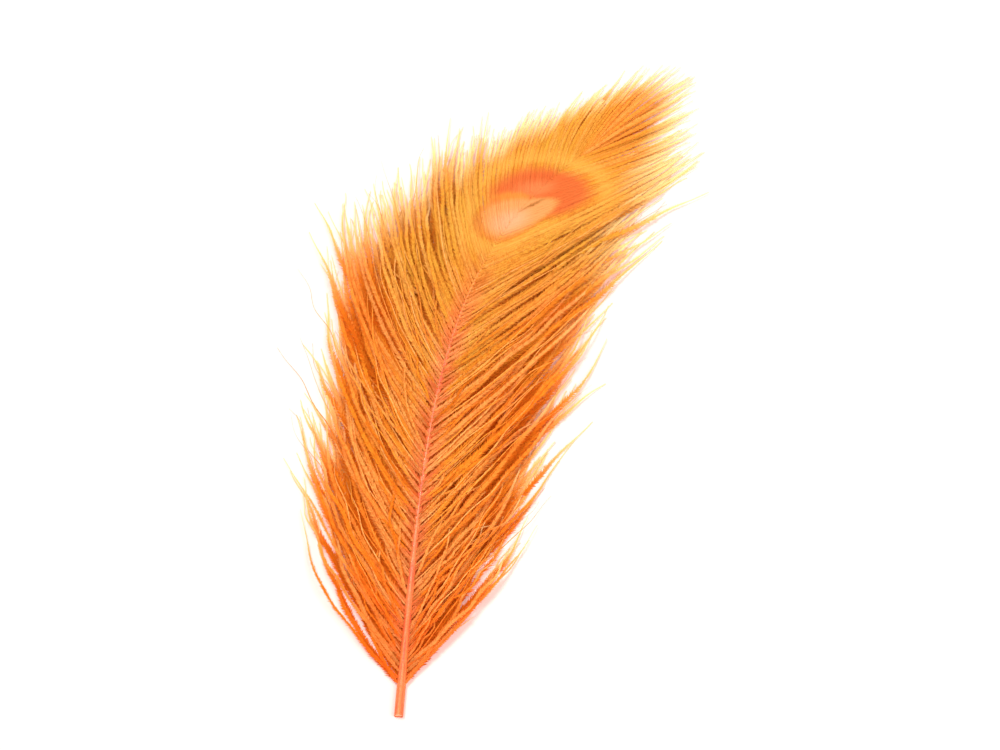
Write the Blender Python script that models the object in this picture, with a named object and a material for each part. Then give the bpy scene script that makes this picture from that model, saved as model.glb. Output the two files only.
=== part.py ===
"""A dyed peacock eye feather, lying face up: a bent shaft and the locks of its two vanes, grown as one.

Metres, +Z up. The cut end points to -Y, the tip to +Y and a little to +X. The feather lies on Z = 0.
"""

import random
from math import cos, pi, radians, sin

import bmesh
import bpy
from mathutils import Vector

# The shaft, seen from above: its heading turns from +Y towards +X along its length.
SHAFT_LENGTH = 0.268
HEADING_AT_CUT = radians(4)
HEADING_TURN = radians(48)
HEADING_POWER = 2.8

# The shaft, seen from the side: flat on the surface near the cut end, then a low arch down to the tip.
FLAT_LENGTH = 0.034
ARCH_HEIGHT = 0.0085
SHAFT_WIDTHS = ((0.0, 0.0034), (0.10, 0.0027), (0.20, 0.0014), (SHAFT_LENGTH, 0.0007))
SHAFT_DEPTH_SHARE = 0.9
SHAFT_STEP = 0.008

# The locks of each vane, from the first above the cut end to the last beside the tip. Each value
# changes along the shaft: (place on the shaft, value). Angles are from the shaft's own heading.
# The left vane sweeps up in a bow and is short beside the eye; the right one is straighter.
LEFT, RIGHT = -1, 1
LOCKS_PER_SIDE = 38
FIRST_LOCK = 0.013
LAST_LOCK = 0.262
LOCK_LENGTHS = {
    LEFT: (
        (0.0, 0.072), (0.05, 0.098), (0.11, 0.106), (0.15, 0.095), (0.17, 0.084),
        (0.20, 0.063), (0.22, 0.051), (0.245, 0.044), (SHAFT_LENGTH, 0.050),
    ),
    RIGHT: (
        (0.0, 0.072), (0.05, 0.098), (0.11, 0.109), (0.17, 0.105),
        (0.19, 0.099), (0.21, 0.084), (0.235, 0.063), (SHAFT_LENGTH, 0.050),
    ),
}
LOCK_WIDTHS = ((0.0, 0.0062), (0.18, 0.0062), (0.23, 0.0074), (SHAFT_LENGTH, 0.0078))
LEAVE_ANGLES = {
    LEFT: ((0.0, radians(42)), (0.19, radians(42)), (0.24, radians(38)), (SHAFT_LENGTH, radians(17))),
    RIGHT: ((0.0, radians(38)), (0.19, radians(41)), (0.24, radians(36)), (SHAFT_LENGTH, radians(17))),
}
TIP_ANGLES = {
    LEFT: ((0.0, radians(15)), (0.19, radians(14)), (SHAFT_LENGTH, radians(8))),
    RIGHT: ((0.0, radians(21)), (0.19, radians(25)), (0.22, radians(23)), (SHAFT_LENGTH, radians(8))),
}
BEND_POWERS = {LEFT: 1.3, RIGHT: 1.0}

# The locks that close the tip: the angle from the shaft's heading, and the length.
END_LOCKS = ((radians(-12), 0.050), (radians(-4), 0.056), (radians(5), 0.051))
END_LOCK_SETBACK = 0.002

# A lock's shape. Its girth is a share of its full width: less at the shaft, and a point at the tip.
LOCK_THICKNESS_SHARE = 0.23
LOCK_POINTS = 7
PATH_STEPS = 6
LOCK_ROLL = radians(9)
ROOT_GIRTH, FULL_GIRTH_FROM = 0.6, 0.2
TAPER_FROM, TIP_GIRTH = 0.45, 0.14
ROOT_DEPTH_SHARE = 0.6
SINK_POWER, LIFT_POWER = 1.3, 1.2
LIFT = 0.0042
LEAST_LIFT_SHARE = 0.3
TIP_CLEARANCE = 0.0002

# How much each lock differs from the next.
ANGLE_SPREAD = radians(2.5)
LENGTH_SPREAD = 0.09
SEED = 2

# Corners closer than this are one corner.
WELD_DISTANCE = 0.00001

# The frame's origin is under the middle of the whole feather.
MIDDLE = Vector((0.0372, 0.1435, 0.0))


def between(keys, at):
    """The value of a list of (place, value) pairs at this place, eased between its neighbours."""
    for (low, first), (high, second) in zip(keys, keys[1:]):
        if at <= high:
            share = max(0.0, (at - low) / (high - low))
            share = share * share * (3 - 2 * share)
            return first + (second - first) * share
    return keys[-1][1]


def heading(s):
    return HEADING_AT_CUT + HEADING_TURN * (max(s, 0.0) / SHAFT_LENGTH) ** HEADING_POWER


def shaft_path(s):
    """The point of the shaft's underside at arc length s."""
    steps = 60
    step = s / steps
    x = sum(sin(heading((i + 0.5) * step)) for i in range(steps)) * step
    y = sum(cos(heading((i + 0.5) * step)) for i in range(steps)) * step
    u = min(max((s - FLAT_LENGTH) / (SHAFT_LENGTH - FLAT_LENGTH), 0.0), 1.0)
    return Vector((x, y, ARCH_HEIGHT * 16 * u * u * (1 - u) * (1 - u))) - MIDDLE


def shaft_depth(s):
    return between(SHAFT_WIDTHS, s) * SHAFT_DEPTH_SHARE


def profile_curve(name, corners):
    """A closed flat outline for a curve's bevel."""
    data = bpy.data.curves.new(name, "CURVE")
    data.dimensions = "2D"
    spline = data.splines.new("POLY")
    spline.points.add(len(corners) - 1)
    for point, (x, y) in zip(spline.points, corners):
        point.co = (x, y, 0, 1)
    spline.use_cyclic_u = True
    profile = bpy.data.objects.new(name, data)
    profile.hide_render = True
    profile.display_type = "WIRE"
    helpers.objects.link(profile)
    return profile


def swept_mesh(name, profile, points, radii, tilts):
    """The profile swept along a poly line, as a mesh of triangles, because its sides twist."""
    data = bpy.data.curves.new(name, "CURVE")
    data.dimensions = "3D"
    data.twist_mode = "Z_UP"
    data.bevel_mode = "OBJECT"
    data.bevel_object = profile
    data.use_fill_caps = True
    spline = data.splines.new("POLY")
    spline.points.add(len(points) - 1)
    for point, place, radius, tilt in zip(spline.points, points, radii, tilts):
        point.co = (*place, 1)
        point.radius = radius
        point.tilt = tilt
    curve = bpy.data.objects.new(name, data)
    helpers.objects.link(curve)
    graph = bpy.context.evaluated_depsgraph_get()
    mesh = bpy.data.meshes.new_from_object(curve.evaluated_get(graph))
    bpy.data.objects.remove(curve)
    work = bmesh.new()
    work.from_mesh(mesh)
    bmesh.ops.remove_doubles(work, verts=work.verts, dist=WELD_DISTANCE)
    bmesh.ops.triangulate(work, faces=work.faces)
    bmesh.ops.recalc_face_normals(work, faces=work.faces)
    work.to_mesh(mesh)
    work.free()
    return mesh


def material(name, color, roughness):
    made = bpy.data.materials.new(name)
    made.use_nodes = True
    shader = made.node_tree.nodes["Principled BSDF"]
    shader.inputs["Base Color"].default_value = (*color, 1)
    shader.inputs["Roughness"].default_value = roughness
    shader.inputs["Metallic"].default_value = 0.0
    return made


def make_shaft():
    """The shaft, as wide as SHAFT_WIDTHS, with a flat underside that runs through shaft_path."""
    low, top = -SHAFT_DEPTH_SHARE / 2, SHAFT_DEPTH_SHARE / 2
    half = [(0.30, low), (0.50, -0.10), (0.34, 0.34)]
    profile = profile_curve("shaft_profile", half + [(0.0, top)] + [(-x, y) for x, y in reversed(half)])
    count = round(SHAFT_LENGTH / SHAFT_STEP)
    stations = [SHAFT_LENGTH * i / count for i in range(count + 1)]
    points = [shaft_path(s) + Vector((0, 0, shaft_depth(s) / 2)) for s in stations]
    radii = [between(SHAFT_WIDTHS, s) for s in stations]
    return swept_mesh("feather", profile, points, radii, [0.0] * len(points))


def lock_girth(t):
    """A lock's share of its full width at t, which is 0 at the shaft and 1 at the tip."""
    swell = ROOT_GIRTH + (1 - ROOT_GIRTH) * min(t / FULL_GIRTH_FROM, 1.0)
    return swell * (1 - (1 - TIP_GIRTH) * max(t - TAPER_FROM, 0.0) / (1 - TAPER_FROM))


def lock_path(s, leave, arrive, power, length, width, lift):
    """Points of one lock's middle line, from inside the shaft at s out to its tip.

    The headings leave and arrive are from +Y towards +X. The lock bows up by lift and comes down again.
    """
    place = shaft_path(s)
    root_height = place.z + ROOT_DEPTH_SHARE * shaft_depth(s)
    steps = (LOCK_POINTS - 1) * PATH_STEPS
    points = []
    x, y = place.x, place.y
    for i in range(steps + 1):
        t = i / steps
        if i % PATH_STEPS == 0:
            floor = TIP_CLEARANCE + LOCK_THICKNESS_SHARE * width / 2 * lock_girth(t)
            sunk = max(root_height - floor, 0.0) * (1 - t) ** SINK_POWER
            points.append(Vector((x, y, floor + sunk + lift * sin(pi * t) ** LIFT_POWER)))
        angle = arrive + (leave - arrive) * (1 - t) ** power
        x += sin(angle) * length / steps
        y += cos(angle) * length / steps
    return points


def make_lock(name, profile, points, width, roll):
    """One lock as a closed mesh object among those that are joined to the shaft."""
    radii = [width * lock_girth(j / (LOCK_POINTS - 1)) for j in range(LOCK_POINTS)]
    mesh = swept_mesh(name, profile, points, radii, [roll] * LOCK_POINTS)
    mesh.materials.append(barb_material)
    lock = bpy.data.objects.new(name, mesh)
    lock.hide_render = True
    lock.display_type = "WIRE"
    locks.objects.link(lock)


def make_locks():
    """The locks of both vanes, and those that close the feather's tip."""
    ridge = LOCK_THICKNESS_SHARE / 2
    profile = profile_curve("lock_profile", [(-0.5, 0.0), (0.0, -ridge), (0.5, 0.0), (0.0, ridge)])
    chance = random.Random(SEED)
    for side in (LEFT, RIGHT):
        for i in range(LOCKS_PER_SIDE):
            s = FIRST_LOCK + (LAST_LOCK - FIRST_LOCK) * i / (LOCKS_PER_SIDE - 1)
            length = between(LOCK_LENGTHS[side], s) * (1 + chance.uniform(-LENGTH_SPREAD, LENGTH_SPREAD))
            turn = chance.uniform(-ANGLE_SPREAD, ANGLE_SPREAD)
            lift = LIFT * chance.uniform(LEAST_LIFT_SHARE, 1.0)
            width = between(LOCK_WIDTHS, s)
            leave = heading(s) + side * (between(LEAVE_ANGLES[side], s) + turn)
            arrive = heading(s) + side * (between(TIP_ANGLES[side], s) + turn)
            points = lock_path(s, leave, arrive, BEND_POWERS[side], length, width, lift)
            make_lock(f"lock_{side}_{i}", profile, points, width, side * LOCK_ROLL)
    width = between(LOCK_WIDTHS, SHAFT_LENGTH)
    for i, (angle, length) in enumerate(END_LOCKS):
        course = heading(SHAFT_LENGTH) + angle
        points = lock_path(SHAFT_LENGTH - END_LOCK_SETBACK, course, course, 1.0, length, width, 0.0)
        make_lock(f"lock_end_{i}", profile, points, width, 0.0)


for old in list(bpy.data.objects):
    bpy.data.objects.remove(old)

parts = bpy.data.collections.new("peacock feather")
helpers = bpy.data.collections.new("helpers")
locks = bpy.data.collections.new("lock shapes")
for collection in (parts, helpers, locks):
    bpy.context.scene.collection.children.link(collection)

shaft_material = material("shaft", (0.95, 0.24, 0.09), 0.45)
barb_material = material("barbs", (0.90, 0.30, 0.03), 0.8)

feather_mesh = make_shaft()
feather_mesh.materials.append(shaft_material)
feather = bpy.data.objects.new("feather", feather_mesh)
parts.objects.link(feather)
make_locks()

join = feather.modifiers.new("join locks", "BOOLEAN")
join.operation = "UNION"
join.operand_type = "COLLECTION"
join.collection = locks
join.solver = "EXACT"
join.material_mode = "TRANSFER"
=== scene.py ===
import math

import bpy
import numpy as np
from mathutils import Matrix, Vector


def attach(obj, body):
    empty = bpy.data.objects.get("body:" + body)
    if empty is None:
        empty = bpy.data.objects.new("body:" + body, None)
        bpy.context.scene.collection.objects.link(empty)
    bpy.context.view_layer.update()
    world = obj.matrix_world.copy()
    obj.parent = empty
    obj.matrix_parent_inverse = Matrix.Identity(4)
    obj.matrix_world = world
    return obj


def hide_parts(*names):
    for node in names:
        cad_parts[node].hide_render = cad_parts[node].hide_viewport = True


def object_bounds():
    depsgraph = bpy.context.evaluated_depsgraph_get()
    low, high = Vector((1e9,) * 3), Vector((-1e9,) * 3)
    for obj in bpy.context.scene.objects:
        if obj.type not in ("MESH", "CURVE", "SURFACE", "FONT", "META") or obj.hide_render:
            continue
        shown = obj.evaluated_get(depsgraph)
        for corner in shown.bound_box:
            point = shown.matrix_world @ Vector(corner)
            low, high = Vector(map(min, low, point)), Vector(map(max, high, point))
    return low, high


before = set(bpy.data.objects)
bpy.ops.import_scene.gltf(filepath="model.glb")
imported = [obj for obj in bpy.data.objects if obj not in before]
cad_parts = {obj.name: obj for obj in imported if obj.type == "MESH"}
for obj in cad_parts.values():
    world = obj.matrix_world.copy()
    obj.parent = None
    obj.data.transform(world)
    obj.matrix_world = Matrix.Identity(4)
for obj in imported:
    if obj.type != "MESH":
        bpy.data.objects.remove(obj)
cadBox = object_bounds()
print("feather: frame loaded")


# The feather's line: metres, angles in degrees, the same values as the solid it stands for
featherLine = {
    "length": 0.268,
    "headingAtCut": 4.0,
    "headingTurn": 48.0,
    "headingPower": 2.8,
    "flatLength": 0.034,      # the shaft lies flat this far
    "archHeight": 0.0085,
    "middle": (0.0372, 0.1435),
    "widths": ((0.0, 0.0034), (0.10, 0.0027), (0.20, 0.0014), (0.268, 0.0007)),
    "depthShare": 0.9,        # depth over width
    "eyeCentre": 0.232,       # along the shaft
    "eyeTurn": 18.0,          # the eye leans this much to the right of the shaft
    "beyond": 0.060,          # how far past the shaft's end places are still measured
    "stations": 3281,         # places along the line, a tenth of a millimetre apart
    "eyeStations": slice(1600, None, 12),     # those from which places on the eye are measured
}

# How both vanes grow. A value that changes along the shaft is a row of (place on the shaft, value).
# Angles are degrees from the shaft's heading; -1 is the left vane and 1 the right
vane = {
    # where the barbs stand, how long they are, and how they leave the shaft and arrive at their tips
    "first": 0.0130, "last": 0.262,
    "lengths": {
        -1: (
            (0.0, 0.072), (0.05, 0.098), (0.11, 0.106), (0.15, 0.095), (0.17, 0.084),
            (0.20, 0.063), (0.22, 0.051), (0.245, 0.044), (0.268, 0.050),
        ),
        1: (
            (0.0, 0.072), (0.05, 0.098), (0.11, 0.109), (0.17, 0.105),
            (0.19, 0.099), (0.21, 0.084), (0.235, 0.063), (0.268, 0.050),
        ),
    },
    "leave": {
        -1: ((0.0, 40), (0.06, 42), (0.19, 42), (0.24, 38), (0.268, 17)),
        1: ((0.0, 38), (0.19, 41), (0.24, 36), (0.268, 17)),
    },
    "arrive": {
        -1: ((0.0, 15), (0.19, 14), (0.268, 8)),
        1: ((0.0, 21), (0.19, 25), (0.22, 23), (0.268, 8)),
    },
    "power": {-1: 1.3, 1: 1.0},
    "pitch": ((0.0, 0.00095), (0.04, 0.00072), (0.16, 0.00068), (0.205, 0.00062), (0.268, 0.0006)),
    "pitchSpread": (0.75, 1.25),
    "rootSide": ((0.0, 0.42), (0.04, 0.36), (0.09, 0.10), (0.268, 0.05)),     # share of the shaft's width
    "rootHeight": ((0.0, 0.60), (0.04, 0.76), (0.09, 1.0), (0.268, 1.0)),     # share of its depth
    "tipHeight": 0.0004, "fall": 1.3, "swell": 1.2,     # how a barb rises and comes down to its tip
    "curlFrom": 0.5, "curlPower": 1.5,                  # how its outer half curls

    # clumps of barbs, and tufts of clumps
    "clumpLead": 0.001,
    "clumpSize": ((0.0, 0.0075), (0.268, 0.006)), "clumpSpread": (0.55, 1.45),
    "clumpTurn": ((0.0, 3.5), (0.04, 1.6), (0.17, 1.3), (0.20, 0.15), (0.235, 0.15), (0.268, 0.6)),
    "clumpLength": ((0.0, 0.11), (0.20, 0.09), (0.268, 0.05)),
    "clumpRoll": ((0.0, 7), (0.18, 7), (0.21, 1.5), (0.268, 2)),
    "clumpEnd": ((0.0, 8), (0.03, 6), (0.16, 4.5), (0.19, 0.8), (0.235, 0.6), (0.268, 3)),
    "liftLow": ((0.0, 0.0012), (0.19, 0.0016), (0.22, 0.0019), (0.268, 0.0008)),
    "liftHigh": ((0.0, 0.0042), (0.19, 0.0036), (0.22, 0.0023), (0.268, 0.0014)),
    "hold": ((0.0, 0.20), (0.08, 0.24), (0.17, 0.20), (0.20, 0.02), (0.235, 0.01), (0.268, 0.10)),
    "holdSpread": (0.15, 1.0), "holdFrom": 0.1, "holdPower": 1.3,
    "tuftStep": 0.021,
    "tuftTurn": ((0.0, 1.3), (0.16, 1.0), (0.19, 0.2), (0.235, 0.1), (0.268, 0.6)),

    # each barb's own departures from its clump
    "turn": ((0.0, 5.5), (0.04, 2.4), (0.16, 2.0), (0.205, 0.35), (0.268, 0.6)),
    "turnKept": 0.7,                          # share of a turn that is left at the tip
    "ownEnd": ((0.0, 16), (0.03, 9), (0.18, 7), (0.21, 2.5), (0.268, 5)),
    "shortShare": ((0.0, 0.55), (0.03, 0.30), (0.05, 0.12), (0.268, 0.12)),
    "shortest": ((0.0, 0.25), (0.03, 0.45), (0.06, 0.6), (0.268, 0.6)), "shortMost": 0.95,
    "lengthSpread": 0.055, "longestFactor": 1.11, "longest": 0.14, "leastPoints": 8,
    "liftSpread": (0.75, 1.2),
    "strayShare": ((0.0, 0.11), (0.14, 0.10), (0.185, 0.0), (0.25, 0.0), (0.268, 0.04)),
    "strayLift": 0.0022, "strayTurn": 3.5, "strayEnd": 2.0,
    "wave": ((0.0, 0.0010), (0.18, 0.0008), (0.21, 0.00015), (0.268, 0.0002)),
    "waveShares": (1.0, 1.0, 0.6), "waveTurns": (1.2, 4.2), "waveStrength": (0.3, 1.0), "waveGrowth": 0.8,
    "shingle": ((0.0, 8), (0.19, 7), (0.22, 3), (0.268, 4)),
    "twist": ((0.0, 12), (0.19, 10), (0.22, 2), (0.268, 4)),
    "rollSpread": ((0.0, 9), (0.19, 8), (0.22, 2), (0.268, 4)),
    "strand": (0.35, 1.0), "patternShift": 0.45, "shiftAcross": 0.4,

    # barbs that lie under the others
    "underShare": (
        (0.0, 0.62), (0.04, 0.80), (0.13, 0.79), (0.18, 0.66),
        (0.205, 0.38), (0.225, 0.04), (0.24, 0.04), (0.252, 0.35), (0.268, 0.35),
    ),
    "underTurn": 4.0, "underLift": 0.35, "underRoot": 0.55, "underStep": 0.0012,
    "underLength": 0.93, "underBarbule": 1.4, "underSway": 0.4, "underStrand": (0.0, 0.28),

    # a barb's strand, and the barbules along both its sides
    "step": 0.0009, "perStep": 3,             # barbules a step, on each side
    "halfWidth": ((0.0, 0.00022), (0.19, 0.00020), (0.22, 0.00015), (0.268, 0.00014)),
    "taper": 0.72, "ridge": 0.9, "edgeFluff": 0.12,
    "lowestStrand": 0.0003, "lowestTip": 0.00005,
    "barbule": (
        (0.0, 0.0012), (0.03, 0.0018), (0.06, 0.0022), (0.18, 0.0021), (0.215, 0.0014), (0.268, 0.0012),
    ),
    "barbuleShape": ((0.0, 0.45), (0.05, 1.0), (0.66, 0.85), (0.84, 0.32), (0.94, 0.10), (1.0, 0.05)),
    "barbuleSway": ((0.0, 0.42), (0.17, 0.38), (0.21, 0.10), (0.268, 0.15)),
    "barbuleRun": 0.004,                      # how soon their length changes along the barb
    "barbuleChange": (-1, 0.6), "barbuleSpread": (0.7, 1.2), "barbuleLots": (0.85, 1.15),
    "lean": 37, "leanSpread": 8,
    "rise": ((0.0, -8), (0.19, -7), (0.22, -1), (0.268, -2)),
    "riseSpread": ((0.0, 16), (0.19, 15), (0.22, 6), (0.268, 8)),
}

# Each barb has a row of its own in the bake map: where its parts lie across that row, and how far along
bakeRow = {
    "left": 0.44, "right": 0.66, "ridge": 0.55, "leftTips": 0.12, "rightTips": 0.98,
    "underLeft": 0.02, "underRight": 0.10, "from": 0.01, "fill": 0.98,
}


def eased(keys, at):
    # keyed values with a smooth step between neighbours
    places = np.array([k[0] for k in keys], float)
    values = np.array([k[1] for k in keys], float)
    at = np.clip(np.asarray(at, float), places[0], places[-1])
    i = np.clip(np.searchsorted(places, at, side="right") - 1, 0, len(keys) - 2)
    share = (at - places[i]) / (places[i + 1] - places[i])
    share = share * share * (3 - 2 * share)
    return values[i] + (values[i + 1] - values[i]) * share


def grown(settings, key, s, side=None):
    # a setting at this place on the shaft
    keys = settings[key] if side is None else settings[key][side]
    return float(eased(keys, s)) if isinstance(keys, tuple) else keys


def only(when, key, otherwise=1):
    # a setting that counts for some barbs alone
    return vane[key] if when else otherwise


def headingAt(s):
    share = np.clip(np.asarray(s, float) / featherLine["length"], 0, 1)
    turned = featherLine["headingTurn"] * share ** featherLine["headingPower"]
    return np.radians(featherLine["headingAtCut"] + turned)


def walked(steps, step):
    # how far a path has come along one axis at each of its points
    return np.concatenate([[0], np.cumsum(steps[:-1])]) * step


stations = np.linspace(0, featherLine["length"] + featherLine["beyond"], featherLine["stations"])
stationStep = stations[1]
stationHeading = headingAt(stations + stationStep / 2)
stationX = walked(np.sin(stationHeading), stationStep) - featherLine["middle"][0]
stationY = walked(np.cos(stationHeading), stationStep) - featherLine["middle"][1]


def shaftAt(s):
    # x and y of the shaft's line, the height of its underside, and its heading
    u = np.clip((s - featherLine["flatLength"]) / (featherLine["length"] - featherLine["flatLength"]), 0, 1)
    under = featherLine["archHeight"] * 16 * u * u * (1 - u) ** 2
    return np.interp(s, stations, stationX), np.interp(s, stations, stationY), under, headingAt(s)


def shaftWidth(s):
    return eased(featherLine["widths"], s)


def eyePlace(x, y):
    # how far up and how far across the eye a point lies, in millimetres from the eye's centre
    coarse = featherLine["eyeStations"]
    sx, sy, sh = stationX[coarse], stationY[coarse], stationHeading[coarse]
    near = ((x[:, None] - sx) ** 2 + (y[:, None] - sy) ** 2).argmin(1)
    dx, dy, heading = x - sx[near], y - sy[near], sh[near]
    onward = stations[coarse][near] + dx * np.sin(heading) + dy * np.cos(heading)
    up = (onward - featherLine["eyeCentre"]) * 1000
    across = (dx * np.cos(heading) - dy * np.sin(heading)) * 1000
    turn = math.radians(featherLine["eyeTurn"])
    return up * math.cos(turn) + across * math.sin(turn), across * math.cos(turn) - up * math.sin(turn)


def addObject(name, data):
    thing = bpy.data.objects.new(name, data)
    bpy.context.scene.collection.objects.link(thing)
    return thing


def writeFacts(mesh, facts):
    # a number at each point, for the materials to read
    for key, values in facts.items():
        mesh.attributes.new(key, "FLOAT", "POINT").data.foreach_set("value", values.astype(np.float32))


def meshFrom(name, parts, material):
    # one mesh from (vertices, triangles, uv per corner, {attribute: values}) parts
    verts = np.concatenate([p[0] for p in parts])
    offsets = np.cumsum([0] + [len(p[0]) for p in parts[:-1]])
    tris = np.concatenate([p[1] + o for p, o in zip(parts, offsets)])
    uvs = np.concatenate([p[2] for p in parts])
    mesh = bpy.data.meshes.new(name)
    mesh.vertices.add(len(verts))
    mesh.vertices.foreach_set("co", verts.astype(np.float32).ravel())
    mesh.loops.add(tris.size)
    mesh.loops.foreach_set("vertex_index", tris.astype(np.int32).ravel())
    mesh.polygons.add(len(tris))
    mesh.polygons.foreach_set("loop_start", np.arange(0, tris.size, 3, dtype=np.int32))
    mesh.update(calc_edges=True)
    mesh.validate()
    layer = mesh.uv_layers.new(name="OFBake")
    layer.uv.foreach_set("vector", uvs.astype(np.float32).ravel())
    writeFacts(mesh, {key: np.concatenate([p[3][key] for p in parts]) for key in parts[0][3]})
    mesh.shade_smooth()
    mesh.materials.append(material)
    print(f"feather: {name} has {len(tris)} triangles")
    return addObject(name, mesh)


def dress(piece):
    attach(piece, "root")
    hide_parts("feather")


def barbPath(s, side, length, leave, arrive, end, lift, count, under=False):
    # points of one barb's middle line, from the shaft out to its tip
    x, y, floorward, heading = shaftAt(s)
    width = shaftWidth(s)
    rise = grown(vane, "rootHeight", s) * only(under, "underRoot")
    root = floorward + rise * featherLine["depthShare"] * width
    aside = side * grown(vane, "rootSide", s) * width
    t = np.linspace(0, 1, count)
    bow = arrive + (leave - arrive) * (1 - t) ** vane["power"][side]
    curl = end * np.clip((t - vane["curlFrom"]) / (1 - vane["curlFrom"]), 0, 1) ** vane["curlPower"]
    angle = heading + side * np.radians(bow + curl)
    step = length / (count - 1)
    px = x + aside * np.cos(heading) + walked(np.sin(angle), step)
    py = y - aside * np.sin(heading) + walked(np.cos(angle), step)
    ground = vane["tipHeight"]
    pz = ground + (root - ground) * (1 - t) ** vane["fall"] + lift * np.sin(math.pi * t) ** vane["swell"]
    return np.stack([px, py, pz], 1)


def sway(points, amount, chance):
    # slow waves that grow from nothing at the root
    t = np.linspace(0, 1, len(points))
    for axis, share in enumerate(vane["waveShares"]):
        phase, turns = chance.uniform(0, 2 * math.pi), chance.uniform(*vane["waveTurns"])
        wave = np.sin(phase + turns * 2 * math.pi * t) - math.sin(phase)
        strength = amount * share * chance.uniform(*vane["waveStrength"])
        points[:, axis] += strength * t ** vane["waveGrowth"] * wave
    points[:, 2] = np.maximum(points[:, 2], vane["lowestStrand"])
    return points


def frames(points, roll):
    # direction, sideways and upward unit vectors along a path, turned by roll about it
    ahead = np.gradient(points, axis=0)
    ahead /= np.linalg.norm(ahead, axis=1, keepdims=True)
    aside = np.cross(ahead, np.array([0.0, 0.0, 1.0]))
    aside /= np.linalg.norm(aside, axis=1, keepdims=True)
    up = np.cross(aside, ahead)
    c, q = np.cos(roll)[:, None], np.sin(roll)[:, None]
    return ahead, aside * c + up * q, up * c - aside * q


def barbMesh(points, look, chance, row, rows):
    # a three-sided strand with a fringe of fine barbules along both sides
    count = len(points)
    t = np.linspace(0, 1, count)
    length = np.linalg.norm(np.diff(points, axis=0), axis=1).sum()
    ahead, aside, up = frames(points, look["roll"] + look["twist"] * t)
    half = look["halfWidth"] * (1 - vane["taper"] * t)
    left = points - aside * half[:, None]
    right = points + aside * half[:, None]
    ridge = points + up * (half * vane["ridge"])[:, None]

    # the barbules' feet divide each step of the strand's edge; their tips lean towards the barb's tip
    feet = np.linspace(0, 1, (count - 1) * vane["perStep"] + 1)
    middles = (feet[:-1] + feet[1:]) / 2
    fine = len(middles)

    def spread(values, places):
        return np.stack([np.interp(places, t, v) for v in values.T], 1)

    aheadHere, asideHere, upHere = (spread(v, middles) for v in (ahead, aside, up))
    knots = np.arange(0, length + 2 * vane["barbuleRun"], vane["barbuleRun"])
    reach = look["barbule"] * eased(vane["barbuleShape"], middles)
    edges, tips = [], []
    for sign, edge in ((-1, left), (1, right)):
        changes = 1 + chance.uniform(*vane["barbuleChange"], len(knots)) * look["sway"]
        lean = np.radians(chance.normal(vane["lean"], vane["leanSpread"], fine))
        rise = np.radians(chance.normal(look["rise"], look["riseSpread"], fine))
        change = np.interp(middles * length, knots, changes)
        far = reach * change * chance.uniform(*vane["barbuleSpread"], fine)
        away = asideHere * (sign * np.cos(rise))[:, None] + upHere * np.sin(rise)[:, None]
        lengthwise = aheadHere * (far * np.cos(lean))[:, None]
        edges.append(spread(edge, feet))
        tips.append(spread(edge, middles) + lengthwise + away * (far * np.sin(lean))[:, None])
    verts = np.concatenate([left, right, ridge, edges[0], edges[1], tips[0], tips[1]])
    verts[:, 2] = np.maximum(verts[:, 2], vane["lowestTip"])

    i, j = np.arange(count - 1), np.arange(fine)
    l, r, m = i, i + count, i + 2 * count
    fl, fr = j + 3 * count, j + 3 * count + fine + 1
    bl, br = j + 3 * count + 2 * (fine + 1), j + 3 * count + 3 * fine + 2
    on = np.minimum(j + 2, fine) - j      # a barbule's foot is two divisions long
    tris = np.concatenate([
        np.stack([l, m, m + 1], 1), np.stack([l, m + 1, l + 1], 1),
        np.stack([m, r, r + 1], 1), np.stack([m, r + 1, m + 1], 1),
        np.stack([r, l, l + 1], 1), np.stack([r, l + 1, r + 1], 1),
        np.stack([fl, fl + on, bl], 1), np.stack([fr, br, fr + on], 1),
        [[0, count, 2 * count], [count - 1, 3 * count - 1, 2 * count - 1]],
    ])

    # the barb's own row of the bake map: its three sides and its barbules laid out flat
    scale = length / vane["longest"] * bakeRow["fill"]
    u = np.concatenate([t, t, t, feet, feet, middles + feet[1], middles + feet[1]]) * scale + bakeRow["from"]
    places = ("left", "right", "ridge", "left", "right", "leftTips", "rightTips")
    counts = (count, count, count, fine + 1, fine + 1, fine, fine)
    across = np.repeat([bakeRow[place] for place in places], counts)
    uv = np.stack([u[tris], (row + across[tris]) / rows], 2)
    under = slice(4 * (count - 1), 6 * (count - 1))
    underside = np.where(tris[under] < count, bakeRow["underLeft"], bakeRow["underRight"])
    uv[under, :, 1] = (row + underside) / rows

    eyeUp, eyeAcross = eyePlace(points[:, 0], points[:, 1])
    everywhere = np.concatenate([t, t, t, feet, feet, middles, middles])
    fluff = [vane["edgeFluff"], 0.0, vane["edgeFluff"], 1.0]
    facts = {
        "along": everywhere,
        "strand": np.full(len(verts), look["strand"]),
        "fluff": np.repeat(fluff, [2 * count, count, 2 * (fine + 1), 2 * fine]),
        "station": np.full(len(verts), look["station"]),
        "eyeUp": np.interp(everywhere, t, eyeUp) + look["shift"],
        "eyeAcross": np.interp(everywhere, t, eyeAcross) + look["shift"] * vane["shiftAcross"],
    }
    return verts, tris, uv, facts


def makeClump(at, side, tuft, chance):
    low, high = grown(vane, "liftLow", at), grown(vane, "liftHigh", at)
    return {
        "at": at,
        "leave": grown(vane, "leave", at, side),
        "arrive": grown(vane, "arrive", at, side),
        "turn": tuft + chance.normal(0, grown(vane, "clumpTurn", at)),
        "end": chance.normal(0, grown(vane, "clumpEnd", at)),
        "length": 1 + chance.uniform(-1, 1) * grown(vane, "clumpLength", at),
        "lift": chance.uniform(low, high),
        "hold": chance.uniform(*vane["holdSpread"]) * grown(vane, "hold", at),
        "roll": chance.normal(0, grown(vane, "clumpRoll", at)),
    }


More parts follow.
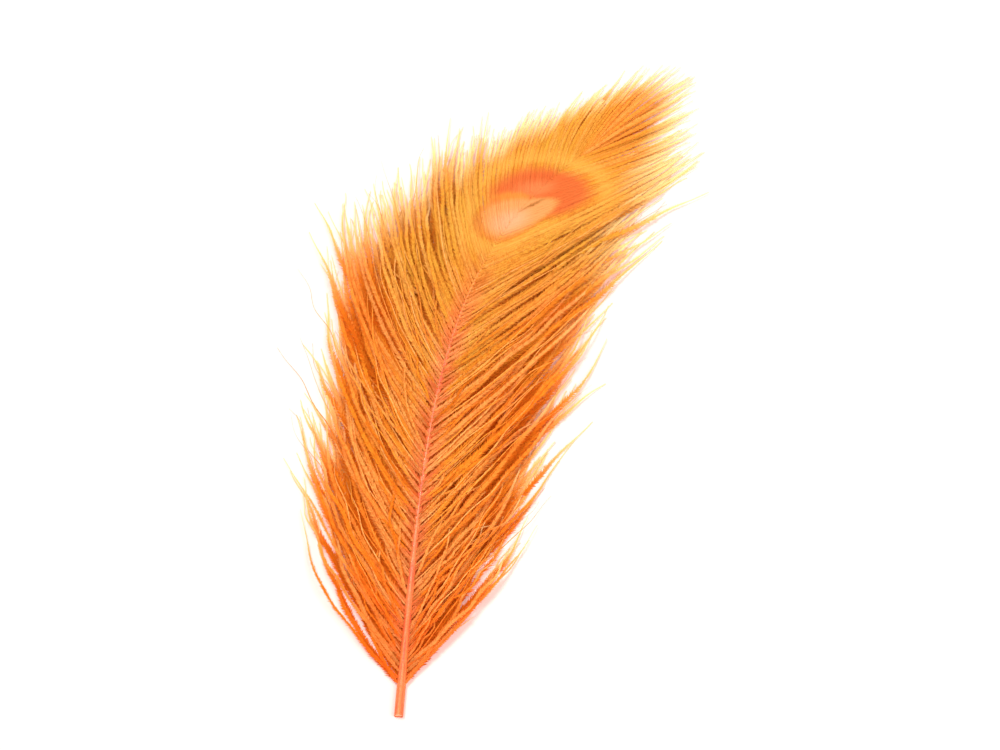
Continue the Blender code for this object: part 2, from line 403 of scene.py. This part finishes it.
def plantBarb(s, side, leave, arrive, clump, under, chance, row, rows):
    # one barb of a clump, or one that lies under the others by itself
    stray = not under and chance.random() < grown(vane, "strayShare", s)
    own = chance.normal(0, grown(vane, "turn", s) * only(stray, "strayTurn"))
    turn = chance.normal(0, vane["underTurn"]) if under else clump["turn"] + own
    end = clump["end"] + chance.normal(0, grown(vane, "ownEnd", s) * only(stray, "strayEnd"))
    factor = clump["length"] * (1 + chance.normal(0, vane["lengthSpread"]))
    factor *= only(under, "underLength")
    if chance.random() < grown(vane, "shortShare", s):
        factor *= chance.uniform(grown(vane, "shortest", s), vane["shortMost"])
    length = grown(vane, "lengths", s, side) * min(factor, vane["longestFactor"])
    count = max(int(round(length / vane["underStep" if under else "step"])), vane["leastPoints"])
    t = np.linspace(0, 1, count)
    lift = clump["lift"] * chance.uniform(*vane["liftSpread"]) + only(stray, "strayLift", 0)
    lift *= only(under, "underLift")
    path = barbPath(s, side, length, leave + turn, arrive + turn * vane["turnKept"], end, lift, count, under)

    # the clump's own line draws its barbs together towards their tips
    turned = clump["leave"] + clump["turn"], clump["arrive"] + clump["turn"] * vane["turnKept"]
    line = barbPath(clump["at"], side, length, *turned, end, lift, count, under)
    hold = 0 if stray or under else clump["hold"]
    pull = hold * np.clip((t - vane["holdFrom"]) / (1 - vane["holdFrom"]), 0, 1) ** vane["holdPower"]
    path[:, :2] += (line - path)[:, :2] * pull[:, None]
    path = sway(path, grown(vane, "wave", s), chance)

    roll = clump["roll"] + chance.normal(0, grown(vane, "rollSpread", s)) - side * grown(vane, "shingle", s)
    twist = chance.normal(0, grown(vane, "twist", s))
    barbule = grown(vane, "barbule", s) * chance.uniform(*vane["barbuleLots"])
    look = {
        "roll": np.radians(roll),
        "twist": np.radians(twist),
        "halfWidth": grown(vane, "halfWidth", s),
        "barbule": barbule * only(under, "underBarbule"),
        "sway": grown(vane, "barbuleSway", s) * only(under, "underSway"),
        "rise": grown(vane, "rise", s),
        "riseSpread": grown(vane, "riseSpread", s),
        "strand": chance.uniform(*vane["underStrand" if under else "strand"]),
        "station": s / featherLine["length"],
        "shift": chance.normal(0, vane["patternShift"]),
    }
    return barbMesh(path, look, chance, row, rows)


def plantSide(side, seed):
    # every barb of one side: its place, its clump, and whether it lies under the others
    chance = np.random.default_rng(seed)
    knots = np.arange(0, featherLine["length"] + vane["tuftStep"], vane["tuftStep"])
    tufts = chance.normal(0, 1, len(knots))
    edges = [vane["first"] - vane["clumpLead"]]
    while edges[-1] < vane["last"]:
        edges.append(edges[-1] + grown(vane, "clumpSize", edges[-1]) * chance.uniform(*vane["clumpSpread"]))
    clumps = []
    for low, high in zip(edges, edges[1:]):
        at = (low + high) / 2
        tuft = np.interp(at, knots, tufts) * grown(vane, "tuftTurn", at)
        clumps.append(makeClump(at, side, tuft, chance))
    planted, s, due = [], vane["first"], 0.0
    while s < vane["last"]:
        due += grown(vane, "underShare", s)
        under = due >= 1
        due -= under
        clump = clumps[min(int(np.searchsorted(edges, s)) - 1, len(clumps) - 1)]
        planted.append((s, clump, under))
        s += grown(vane, "pitch", s) * chance.uniform(*vane["pitchSpread"])
    return planted


def growVane(name, side, planted, seed, material):
    # a stretch of one side's barbs as one piece
    chance = np.random.default_rng(seed)
    parts = []
    for row, (s, clump, under) in enumerate(planted):
        leave, arrive = grown(vane, "leave", s, side), grown(vane, "arrive", s, side)
        parts.append(plantBarb(s, side, leave, arrive, clump, under, chance, row, len(planted)))
    dress(meshFrom(name, parts, material))


def growTip(name, settings, material):
    # the last barbs, which fan out round the end of the shaft
    chance = np.random.default_rng(settings["seed"])
    parts = []
    for row in range(settings["count"]):
        share = (row + 0.5) / settings["count"] * 2 - 1
        turned = settings["lean"] + settings["spread"] * share
        side = -1 if turned < 0 else 1
        s = featherLine["length"] - settings["depth"] * abs(share) - settings["inset"]
        clump = makeClump(s, side, 0, chance)
        leave, arrive = abs(turned), abs(turned) * settings["bow"]
        clump["leave"], clump["arrive"] = leave, arrive
        clump["length"] *= settings["reach"] - settings["round"] * share * share
        parts.append(plantBarb(s, side, leave, arrive, clump, False, chance, row, settings["count"]))
    dress(meshFrom(name, parts, material))


def growAcross(name, settings, material):
    # thin hairs or short barbs that lie across the others, out of their clumps
    chance = np.random.default_rng(settings["seed"])
    parts = []
    for row in range(settings["count"]):
        side = -1 if chance.random() < 0.5 else 1
        s = chance.uniform(*settings["range"])
        length = grown(vane, "lengths", s, side) * chance.uniform(*settings["length"])
        turn = chance.normal(0, settings["turn"])
        leave = grown(vane, "leave", s, side) + turn * settings["turnAtRoot"]
        arrive = grown(vane, "arrive", s, side) + turn
        lift = chance.uniform(*settings["lift"])
        count = int(length / settings["step"])
        end = chance.normal(0, settings["end"])
        path = sway(barbPath(s, side, length, leave, arrive, end, lift, count), settings["wave"], chance)
        look = {
            "roll": 0, "twist": 0, "barbule": settings["barbule"],
            "halfWidth": settings["halfWidth"] * chance.uniform(*settings["thickness"]),
            "sway": 0, "rise": settings["rise"], "riseSpread": settings["riseSpread"],
            "strand": chance.uniform(*settings["strand"]),
            "station": s / featherLine["length"], "shift": 0,
        }
        parts.append(barbMesh(path, look, chance, row, settings["count"]))
    dress(meshFrom(name, parts, material))


# Colours and masks

def tone(red, green, blue):
    # a colour as seen on a screen, 0 to 255, as the shader's linear values
    channels = [c / 255 for c in (red, green, blue)]
    return tuple(c / 12.92 if c <= 0.04045 else ((c + 0.055) / 1.055) ** 2.4 for c in channels) + (1.0,)


def addNode(tree, kind, **settings):
    node = tree.nodes.new(kind)
    for key, value in settings.items():
        setattr(node, key, value)
    return node


def feed(tree, socket, value):
    # a link from another node, or a fixed value
    if isinstance(value, bpy.types.NodeSocket):
        tree.links.new(value, socket)
    else:
        socket.default_value = value


def maths(tree, operation, *values):
    node = addNode(tree, "ShaderNodeMath", operation=operation)
    for socket, value in zip(node.inputs, values):
        feed(tree, socket, value)
    return node.outputs[0]


def times(tree, product, *others):
    for other in others:
        product = maths(tree, "MULTIPLY", product, other)
    return product


def ramp(tree, value, low, high, start=0.0, end=1.0):
    # eased step from start to end while value goes from low to high
    node = addNode(tree, "ShaderNodeMapRange", interpolation_type="SMOOTHSTEP")
    tree.links.new(value, node.inputs["Value"])
    for key, amount in (("From Min", low), ("From Max", high), ("To Min", start), ("To Max", end)):
        node.inputs[key].default_value = amount
    return node.outputs["Result"]


def blended(tree, mask, under, over):
    node = addNode(tree, "ShaderNodeMix", data_type="RGBA")
    for key, value in (("Factor", mask), ("A", under), ("B", over)):
        feed(tree, node.inputs[key], value)
    return node.outputs["Result"]


def fact(tree, name):
    # a number that the mesh holds at each of its points
    return addNode(tree, "ShaderNodeAttribute", attribute_type="GEOMETRY", attribute_name=name).outputs["Fac"]


def stretchedNoise(tree, axes):
    # noise over the places that axes give, each as a value and how many runs it has
    place = addNode(tree, "ShaderNodeCombineXYZ")
    for socket, (value, runs) in zip(place.inputs, axes):
        tree.links.new(times(tree, value, runs), socket)
    noise = addNode(tree, "ShaderNodeTexNoise")
    noise.inputs["Scale"].default_value = 1.0
    tree.links.new(place.outputs["Vector"], noise.inputs["Vector"])
    return noise.outputs["Fac"]


def startGroup(name, inputs, outputs):
    # inputs are {name: colour or number}, outputs are {name: socket kind}
    group = bpy.data.node_groups.new(name, "ShaderNodeTree")
    for label, value in inputs.items():
        kind = "NodeSocketColor" if isinstance(value, tuple) else "NodeSocketFloat"
        group.interface.new_socket(label, in_out="INPUT", socket_type=kind).default_value = value
    for label, kind in outputs.items():
        group.interface.new_socket(label, in_out="OUTPUT", socket_type="NodeSocket" + kind)
    start, end = group.nodes.new("NodeGroupInput"), group.nodes.new("NodeGroupOutput")
    return group, start.outputs, end.inputs


mottle = {"detail": {"Drift": 2.0, "Grain": 3.0}, "contrast": (0.3, 0.7)}


def dyeMottleGroup():
    # how unevenly the dye took: a slow drift, and a fine grain
    sizes = {"Drift Size": 30.0, "Grain Size": 900.0}
    group, given, out = startGroup("dyeMottle", sizes, {"Drift": "Float", "Grain": "Float"})
    place = group.nodes.new("ShaderNodeTexCoord").outputs["Object"]
    for label, detail in mottle["detail"].items():
        noise = addNode(group, "ShaderNodeTexNoise")
        noise.inputs["Detail"].default_value = detail
        group.links.new(place, noise.inputs["Vector"])
        group.links.new(given[label + " Size"], noise.inputs["Scale"])
        group.links.new(ramp(group, noise.outputs["Fac"], *mottle["contrast"]), out[label])
    return group


# The eye's shapes: millimetres up and across from its centre, half sizes, lean in degrees, taper
eyeShapes = {
    "heart": (4.4, 1.0, 19.8, 12.6, 24.0, 0.0),
    "lobe": (-8.5, 4.0, 16.0, 7.6, 14.0, 0.4),
    "core": (4.0, -3.0, 11.0, 5.0, 20.0, 0.0),
    "band": (-6.2, -4.6, 9.5, 3.0, 32.0, 0.0),
    "split": (-1.5, 3.3, 7.0, 0.9, 6.0, 0.0),
    "glow": (-13.5, 4.0, 11.0, 6.5, 10.0, 0.0),
}
# and how they fade with the distance from their middle, which is 1 at the outline
eyeFades = {
    "softness": 0.22,
    "core": (1.1, 0.2), "band": (1.1, 0.4), "split": (1.2, 0.2), "glow": (1.1, 0.2),
    "rim": ((0.90, 1.06), (1.08, 1.34, 1.0, 0.0)),
    "halo": ((1.10, 1.36), (1.36, 1.9, 1.0, 0.0)),
}


def eyePatternGroup():
    # the eye by place on the feather: a heart, the pale lobe that cuts into it from below, the rim and the
    # halo round both
    outputs = dict.fromkeys(("Heart", "Core", "Lobe", "Glow", "Rim", "Halo", "Band", "Split"), "Float")
    group, given, out = startGroup("eyePattern", {"Up": 0.0, "Across": 0.0}, outputs)

    def egg(upShift, acrossShift, upSize, acrossSize, turn, taper):
        # distance from an egg's middle; its far end is narrower by taper, and leans to the right by turn
        u = maths(group, "SUBTRACT", given["Up"], upShift)
        a = maths(group, "SUBTRACT", given["Across"], acrossShift)
        c, q = math.cos(math.radians(turn)), math.sin(math.radians(turn))
        along = maths(group, "MULTIPLY_ADD", u, c / upSize, times(group, a, q / upSize))
        aside = maths(group, "MULTIPLY_ADD", a, c / acrossSize, times(group, u, -q / acrossSize))
        aside = maths(group, "DIVIDE", aside, maths(group, "MULTIPLY_ADD", along, -taper, 1.0))
        return maths(group, "SQRT", maths(group, "MULTIPLY_ADD", along, along, times(group, aside, aside)))

    def within(distance):
        # 1 inside the outline, 0 outside it, with a soft edge
        inside = maths(group, "DIVIDE", maths(group, "SUBTRACT", 1.0, distance), eyeFades["softness"])
        return ramp(group, inside, -1.0, 1.0)

    def patch(label):
        return ramp(group, egg(*eyeShapes[label]), *eyeFades[label])

    def ring(label, distance):
        inner, outer = eyeFades[label]
        return times(group, ramp(group, distance, *inner), ramp(group, distance, *outer))

    heart, lobe = egg(*eyeShapes["heart"]), egg(*eyeShapes["lobe"])
    inHeart, inLobe = within(heart), within(lobe)
    outHeart, outLobe = (maths(group, "SUBTRACT", 1.0, inside) for inside in (inHeart, inLobe))
    masks = {
        "Heart": times(group, inHeart, outLobe),
        "Core": times(group, patch("core"), outLobe),
        "Lobe": inLobe,
        "Glow": times(group, patch("glow"), inLobe),
        "Rim": times(group, ring("rim", lobe), outHeart),
        "Halo": ring("halo", maths(group, "MINIMUM", heart, lobe)),
        "Band": patch("band"),
        "Split": patch("split"),
    }
    for label, mask in masks.items():
        group.links.new(mask, out[label])
    return group


# the barbs' colours: the deep colour is painted shade between the strands and on the barbs under the others,
# and also the colour of the beads; the tick colour is painted shade between the barbs' roots
dye = {
    "Root": tone(247, 143, 86), "Middle": tone(250, 168, 48), "High": tone(231, 176, 63),
    "Low": tone(252, 108, 26), "Tip": tone(255, 228, 160), "Shade And Bead": tone(214, 106, 14),
    "Pale Strand": tone(252, 200, 116), "Root Gap Shade": tone(200, 94, 24),
    "Pale Share": 0.7, "Under Shade Share": 0.85, "Low Reach": 0.75, "Fringe Shade Share": 0.7,
    "Bead Share": 0.35, "Root Gap Shade Share": 0.4,
}
# Where each colour sets in, along the shaft, along the barb (1 is its tip), by strand or by fluff; the last
# two of four numbers are the shares there
dyeSteps = {
    "highOnShaft": (0.38, 0.66), "lowOnShaft": (0.34, 0.0), "lowOnBarb": (0.9, 0.1),
    "rootOnBarb": (0.12, 0.03), "rootBelowEye": (0.78, 0.56), "rootAboveCut": (0.04, 0.16, 0.3, 1.0),
    "paleStrand": (0.45, 1.0), "underStrand": (0.3, 0.15), "underOnBarb": (0.85, 0.45),
    "fringeShade": (0.25, 0.85), "drift": 0.25,
    "bead": (0.46, 0.62), "beadRuns": (75.0, 60.0, 500.0),
    "tick": (0.4, 0.9), "tickOnBarb": (0.10, 0.04), "tickCount": 122,
    "tipSooner": (0.45, 0.80, 0.0, 0.055), "tip": (0.62, 0.98),
}


def barbDyeGroup(mottleGroup):
    # a barb's colour from its place along the barb and on the shaft: light ribs, with painted shade between
    # them at the barbules' ends, on the barbs that lie under the others and in ticks between their roots
    group, given, out = startGroup("barbDyeAndShade", dye, {"Color": "Color", "Height": "Float"})
    along, strand, fluff, station = (fact(group, name) for name in ("along", "strand", "fluff", "station"))
    spots = addNode(group, "ShaderNodeGroup", node_tree=mottleGroup)

    def step(value, key):
        return ramp(group, value, *dyeSteps[key])

    def painted(color, label, *masks):
        return blended(group, times(group, *masks), color, given[label])

    color = painted(given["Middle"], "High", step(station, "highOnShaft"))
    color = painted(color, "Low", step(station, "lowOnShaft"), step(along, "lowOnBarb"), given["Low Reach"])
    rooted = times(group, step(along, "rootOnBarb"), step(station, "rootBelowEye"))
    color = painted(color, "Root", rooted, step(station, "rootAboveCut"))
    color = painted(color, "Pale Strand", step(strand, "paleStrand"), given["Pale Share"])
    # painted shade: the barbs that lie under the others darken towards the deep colour, as if in the shadow
    # of those above
    underShade = times(group, step(strand, "underStrand"), step(along, "underOnBarb"))
    color = painted(color, "Shade And Bead", underShade, given["Under Shade Share"])
    color = painted(color, "Low", spots.outputs["Drift"], dyeSteps["drift"])
    # painted shade: the barbules' outer ends darken towards the deep colour, which draws dark lines between
    # the strands
    color = painted(color, "Shade And Bead", step(fluff, "fringeShade"), given["Fringe Shade Share"])

    # beads of the deep colour along each barb, at random, and dark ticks of painted shade in the gaps between
    # the barbs' roots where they leave the shaft
    beads = stretchedNoise(group, zip((along, strand, station), dyeSteps["beadRuns"]))
    color = painted(color, "Shade And Bead", step(beads, "bead"), given["Bead Share"])
    rootShadeRhythm = maths(group, "SINE", times(group, station, 2 * math.pi * dyeSteps["tickCount"]))
    color = painted(color, "Root Gap Shade", step(rootShadeRhythm, "tick"), step(along, "tickOnBarb"), given["Root Gap Shade Share"])
    # the pale ends begin sooner round the eye and at the tip
    color = painted(color, "Tip", step(maths(group, "ADD", along, step(station, "tipSooner")), "tip"))
    group.links.new(color, out["Color"])
    group.links.new(spots.outputs["Grain"], out["Height"])
    return group


def addBump(tree, shader, strength, height):
    bump = addNode(tree, "ShaderNodeBump")
    bump.inputs["Strength"].default_value = strength
    bump.inputs["Distance"].default_value = grainDepth
    tree.links.new(height, bump.inputs["Height"])
    tree.links.new(bump.outputs["Normal"], shader.inputs["Normal"])


def barbMaterial(name, look, groups):
    # satin barbs that let some light through; the eye is painted by place where look has one
    made = bpy.data.materials.new(name)
    made.use_nodes = True
    tree = made.node_tree
    shader = tree.nodes["Principled BSDF"]
    dyed = addNode(tree, "ShaderNodeGroup", node_tree=groups["barbDyeAndShade"])
    for label, value in look["dye"].items():
        dyed.inputs[label].default_value = value
    color = dyed.outputs["Color"]
    if "eye" in look:
        pattern = addNode(tree, "ShaderNodeGroup", node_tree=groups["eyePattern"])
        for label, key in (("Up", "eyeUp"), ("Across", "eyeAcross")):
            tree.links.new(fact(tree, key), pattern.inputs[label])
        for label, (paint, share) in look["eye"].items():
            color = blended(tree, times(tree, pattern.outputs[label], share), color, paint)
    addBump(tree, shader, look["bump"], dyed.outputs["Height"])
    tree.links.new(color, shader.inputs["Base Color"])
    shader.inputs["Roughness"].default_value = look["roughness"]
    shader.inputs["Specular IOR Level"].default_value = look["specular"]
    shader.inputs["Sheen Weight"].default_value = look["sheen"]
    shader.inputs["Sheen Roughness"].default_value = look["sheenRoughness"]
    through = addNode(tree, "ShaderNodeBsdfTranslucent")
    tree.links.new(color, through.inputs["Color"])
    both = addNode(tree, "ShaderNodeMixShader")
    both.inputs["Fac"].default_value = look["through"]
    tree.links.new(shader.outputs["BSDF"], both.inputs[1])
    tree.links.new(through.outputs["BSDF"], both.inputs[2])
    tree.links.new(both.outputs["Shader"], tree.nodes["Material Output"].inputs["Surface"])
    return made


def shaftMaterial(name, look, groups):
    # smooth horn, or the pith in its cut end, with streaks that run along the shaft
    made = bpy.data.materials.new(name)
    made.use_nodes = True
    tree = made.node_tree
    shader = tree.nodes["Principled BSDF"]
    spots = addNode(tree, "ShaderNodeGroup", node_tree=groups["dyeMottle"])
    spots.inputs["Drift Size"].default_value = look["driftSize"]
    spots.inputs["Grain Size"].default_value = look["grainSize"]
    grain = spots.outputs["Grain"]
    station, around = fact(tree, "station"), fact(tree, "around")
    drift = times(tree, spots.outputs["Drift"], shaftSteps["drift"])
    color = blended(tree, drift, look["light"], look["deep"])
    color = blended(tree, ramp(tree, station, *shaftSteps["upper"]), color, look["upper"])
    color = blended(tree, ramp(tree, station, *shaftSteps["top"]), color, look["top"])
    streaks = stretchedNoise(tree, ((station, look["streakRuns"]), (around, look["streakCount"])))
    belowEye = ramp(tree, station, *shaftSteps["streakEnd"])
    streaked = times(tree, ramp(tree, streaks, *shaftSteps["streak"]), belowEye, look["streaks"])
    color = blended(tree, streaked, color, look["streakTone"])
    tree.links.new(color, shader.inputs["Base Color"])
    addBump(tree, shader, look["bump"], maths(tree, "ADD", grain, streaks))
    smooth, rough = (look["roughness"] + sign * shaftSteps["roughnessSpread"] for sign in (-1, 1))
    tree.links.new(ramp(tree, grain, 0, 1, smooth, rough), shader.inputs["Roughness"])
    shader.inputs["Coat Weight"].default_value = look["coat"]
    shader.inputs["Subsurface Weight"].default_value = look["subsurface"]
    shader.inputs["Subsurface Radius"].default_value = shaftSteps["subsurfaceRadius"]
    shader.inputs["Subsurface Scale"].default_value = shaftSteps["subsurfaceScale"]
    return made


grainDepth = 0.0002

# the eye's patches in the order they are painted: colour, and how much of it
eyeColours = {
    "Halo": (tone(242, 183, 80), 0.65),
    "Rim": (tone(230, 126, 48), 0.5),
    "Heart": (tone(227, 114, 57), 0.95),
    "Core": (tone(238, 146, 86), 0.75),
    "Band": (tone(238, 158, 66), 0.8),
    "Lobe": (tone(238, 168, 102), 0.92),
    "Glow": (tone(244, 186, 140), 0.8),
    "Split": (tone(176, 104, 40), 0.8),
}
looseLook = {
    "dye": {},
    "bump": 0.3, "roughness": 0.6, "specular": 0.05, "sheen": 0.0, "sheenRoughness": 0.4, "through": 0.5,
}
# the eye's barbs: a paler deep colour and less painted shade at their barbules' ends
eyeLook = {
    "dye": {
        "Middle": tone(240, 168, 54), "Shade And Bead": tone(204, 110, 26), "Pale Share": 0.35,
        "Fringe Shade Share": 0.6, "Low Reach": 0.0,
    },
    "eye": eyeColours,
    "bump": 0.3, "roughness": 0.55, "specular": 0.05, "sheen": 0.0, "sheenRoughness": 0.4, "through": 0.35,
}
# the tip's barbs: still less painted shade at their barbules' ends
tipLook = {**eyeLook, "dye": {**eyeLook["dye"], "High": tone(242, 174, 68), "Fringe Shade Share": 0.35}}
# stray hairs: little painted shade at their barbules' ends
strayLook = {
    "dye": {"Fringe Shade Share": 0.2, "Pale Share": 0.8, "Tip": tone(196, 140, 80)},
    "bump": 0.2, "roughness": 0.6, "specular": 0.18, "sheen": 0.04, "sheenRoughness": 0.4, "through": 0.3,
}
hornLook = {
    "light": tone(226, 112, 52), "deep": tone(214, 92, 36), "upper": tone(227, 114, 66),
    "top": tone(244, 152, 50), "driftSize": 60, "grainSize": 700,
    "streaks": 0.9, "streakTone": tone(206, 72, 36), "streakRuns": 16, "streakCount": 6,
    "bump": 0.4, "roughness": 0.5, "coat": 0.05, "subsurface": 0.2,
}
pithLook = {
    "light": tone(255, 206, 160), "deep": tone(250, 150, 98), "upper": tone(250, 150, 98),
    "top": tone(250, 150, 98), "driftSize": 900, "grainSize": 2500,
    "streaks": 0.0, "streakTone": tone(250, 150, 98), "streakRuns": 30, "streakCount": 14,
    "bump": 0.6, "roughness": 0.8, "coat": 0.0, "subsurface": 0.3,
}
# where the shaft's colours set in along it, and what its horn and its pith share
shaftSteps = {
    "drift": 0.6, "upper": (0.05, 0.5, 0.0, 0.85), "top": (0.58, 0.78),
    "streak": (0.44, 0.62), "streakEnd": (0.8, 0.6), "roughnessSpread": 0.08,
    "subsurfaceRadius": (0.004, 0.0015, 0.0006), "subsurfaceScale": 0.5,
}

mottleGroup = dyeMottleGroup()
groups = {"dyeMottle": mottleGroup, "eyePattern": eyePatternGroup(), "barbDyeAndShade": barbDyeGroup(mottleGroup)}
looseBarbs = barbMaterial("loose_barbs", looseLook, groups)
eyeBarbs = barbMaterial("eye_barbs", eyeLook, groups)
tipBarbs = barbMaterial("tip_barbs", tipLook, groups)
strayHairs = barbMaterial("stray_hairs", strayLook, groups)
shaftHorn = shaftMaterial("shaft_horn", hornLook, groups)
shaftPith = shaftMaterial("shaft_pith", pithLook, groups)
print("feather: materials made")

# where each side's barbs are parted into pieces: name, from, to, material
stretches = (
    ("low", 0.0, 0.075, looseBarbs), ("middle", 0.075, 0.135, looseBarbs),
    ("high", 0.135, 0.195, eyeBarbs), ("eye", 0.195, 0.300, eyeBarbs),
)
for side, word, seed in ((-1, "left", 31), (1, "right", 47)):
    planted = plantSide(side, seed)
    for part, (label, low, high, material) in enumerate(stretches):
        own = [p for p in planted if low <= p[0] < high]
        growVane(f"{label}_{word}", side, own, seed * 10 + part, material)
tipFan = {
    "seed": 80, "count": 46, "depth": 0.006, "inset": 0.0005,
    "lean": -5, "spread": 20, "bow": 0.5, "reach": 1.10, "round": 0.14,
}
growTip("tip_fan", tipFan, tipBarbs)
strays = {
    "seed": 92, "count": 150, "range": (0.02, 0.180), "length": (0.6, 1.07),
    "turn": 5, "turnAtRoot": 0.5, "end": 12, "lift": (0.001, 0.006), "step": 0.0020, "wave": 0.0012,
    "halfWidth": 0.00011, "thickness": (0.7, 1.6), "barbule": 0.0003, "rise": 5, "riseSpread": 30,
    "strand": (0.2, 1.0),
}
growAcross("stray_hairs", strays, strayHairs)
crossing = {
    **strays, "seed": 61, "count": 130, "range": (0.018, 0.165), "length": (0.35, 0.74), "turn": 13,
    "end": 16, "lift": (0.001, 0.0055), "step": 0.0016, "wave": 0.0014, "halfWidth": 0.00015,
    "barbule": 0.0008,
}
growAcross("crossing_barbs", crossing, looseBarbs)


# The shaft: its flat underside and groove, and the cut end with pith inside a thin wall
shaftShape = {
    "rings": 240, "sides": 24, "flat": 0.86, "groove": 0.16, "grooveWidth": 0.16, "narrowing": 0.05,
    "wall": 0.82, "recess": 0.0003, "pithRings": (0.5, 0.96), "sharpAngle": 50,
}


def makeShaft(name, settings):
    rings = np.linspace(0, featherLine["length"], settings["rings"])
    turns = np.linspace(0, 2 * math.pi, settings["sides"], endpoint=False)
    across, high = np.sin(turns), -np.cos(turns)
    flat = np.maximum(high, -settings["flat"])
    groove = settings["groove"] * np.exp(-(np.sin(turns / 2) / settings["grooveWidth"]) ** 2)
    wide = across * (0.5 - settings["narrowing"] * high)
    section = np.stack([wide, (flat + settings["flat"]) / (1 + settings["flat"]) + groove], 1)

    def ring(s, scale):
        x, y, under, heading = shaftAt(s)
        width, depth = shaftWidth(s), shaftWidth(s) * featherLine["depthShare"]
        side = section[:, 0] * scale * width
        height = under + (0.5 + (section[:, 1] - 0.5) * scale) * depth
        return np.stack([x + math.cos(heading) * side, y - math.sin(heading) * side, height], 1)

    inset, recess = settings["wall"], settings["recess"]
    rows = [ring(recess, inset * share) for share in settings["pithRings"]] + [ring(0.0, inset)]
    rows += [ring(s, 1.0) for s in rings]
    sides, faces = len(turns), []
    for i in range(len(rows) - 1):
        for j in range(sides):
            a, b = i * sides + j, i * sides + (j + 1) % sides
            faces.append((a, b, b + sides, a + sides))
    faces.append(tuple(range(sides))[::-1])
    faces.append(tuple((len(rows) - 1) * sides + j for j in range(sides)))
    mesh = bpy.data.meshes.new(name)
    mesh.from_pydata(np.concatenate(rows), [], faces)
    mesh.shade_smooth()
    mesh.set_sharp_from_angle(angle=math.radians(settings["sharpAngle"]))
    mesh.materials.append(shaftHorn)
    mesh.materials.append(shaftPith)
    along = np.concatenate([[0, 0, 0], rings]) / featherLine["length"]
    around = np.tile(np.abs(1 - turns / math.pi), len(rows))
    writeFacts(mesh, {"station": np.repeat(along, sides), "around": around})
    for face in list(mesh.polygons[:sides]) + [mesh.polygons[len(faces) - 2]]:
        face.material_index = 1
    dress(addObject(name, mesh))


makeShaft("shaft", shaftShape)
print("feather: shaft made")


# Floor, light and camera
studio = {
    "floorSize": 40.0, "floorTone": (0.72, 0.505, 0.468, 1), "floorGlow": 0.3,
    "floorRoughness": 0.9, "floorSpecular": 0.1,
    "ambient": 0.7, "backdrop": 1.1, "ambientTone": (1, 0.95, 0.93, 1),
    "elevation": 60.0, "lens": 135.0, "nearest": 0.01,
    "frame": (1000, 750), "frameFill": 0.86, "aim": (0.0, 0.0, 0.003),
}
lights = {
    "key": {"from": (-0.6, 0.4, 1.7), "strength": 2.7, "softness": 22, "color": (1, 1, 0.99)},
    "fill": {"from": (1.0, -0.6, 1.3), "strength": 2.2, "softness": 40, "color": (1, 1, 1)},
}


def makeFloor():
    mesh = bpy.data.meshes.new("floor")
    half = studio["floorSize"] / 2
    corners = [(-half, -half, 0), (half, -half, 0), (half, half, 0), (-half, half, 0)]
    mesh.from_pydata(corners, [], [(0, 1, 2, 3)])
    paper = bpy.data.materials.new("paper")
    paper.use_nodes = True
    shader = paper.node_tree.nodes["Principled BSDF"]
    shader.inputs["Base Color"].default_value = studio["floorTone"]
    shader.inputs["Roughness"].default_value = studio["floorRoughness"]
    shader.inputs["Specular IOR Level"].default_value = studio["floorSpecular"]
    shader.inputs["Emission Color"].default_value = studio["floorTone"]
    shader.inputs["Emission Strength"].default_value = studio["floorGlow"]
    mesh.materials.append(paper)
    floor = addObject("floor", mesh)


def makeLight(name, settings):
    # a soft sun lights the far floor as brightly as the near floor
    data = bpy.data.lights.new(name, "SUN")
    data.energy = settings["strength"]
    data.angle = math.radians(settings["softness"])
    data.color = settings["color"]
    lamp = addObject(name, data)
    lamp.rotation_euler = (-Vector(settings["from"])).to_track_quat("-Z", "Y").to_euler()


def makeWorld():
    # ambient light, with a whiter backdrop behind the floor
    world = bpy.data.worlds.new("studio")
    world.use_nodes = True
    tree = world.node_tree
    background = tree.nodes["Background"]
    background.inputs["Color"].default_value = studio["ambientTone"]
    cameraRay = tree.nodes.new("ShaderNodeLightPath").outputs["Is Camera Ray"]
    more = studio["backdrop"] - studio["ambient"]
    strength = maths(tree, "MULTIPLY_ADD", cameraRay, more, studio["ambient"])
    tree.links.new(strength, background.inputs["Strength"])
    bpy.context.scene.world = world


def makeCamera():
    data = bpy.data.cameras.new("camera")
    data.lens = studio["lens"]
    data.sensor_fit = "HORIZONTAL"
    data.clip_start = studio["nearest"]
    low, high = cadBox
    rise = math.radians(studio["elevation"])
    seen = (high[1] - low[1]) * math.sin(rise)
    wide, tall = studio["frame"]
    frameWidth = seen / studio["frameFill"] * wide / tall
    distance = frameWidth * data.lens / data.sensor_width
    camera = addObject("camera", data)
    aim = Vector(studio["aim"])
    camera.location = aim + Vector((0, -math.cos(rise), math.sin(rise))) * distance
    camera.rotation_euler = (aim - camera.location).to_track_quat("-Z", "Y").to_euler()
    bpy.context.scene.camera = camera


makeFloor()
for name, settings in lights.items():
    makeLight(name, settings)
makeWorld()
bpy.context.scene.view_settings.view_transform = "Standard"
makeCamera()
print("feather: floor, light and camera set")
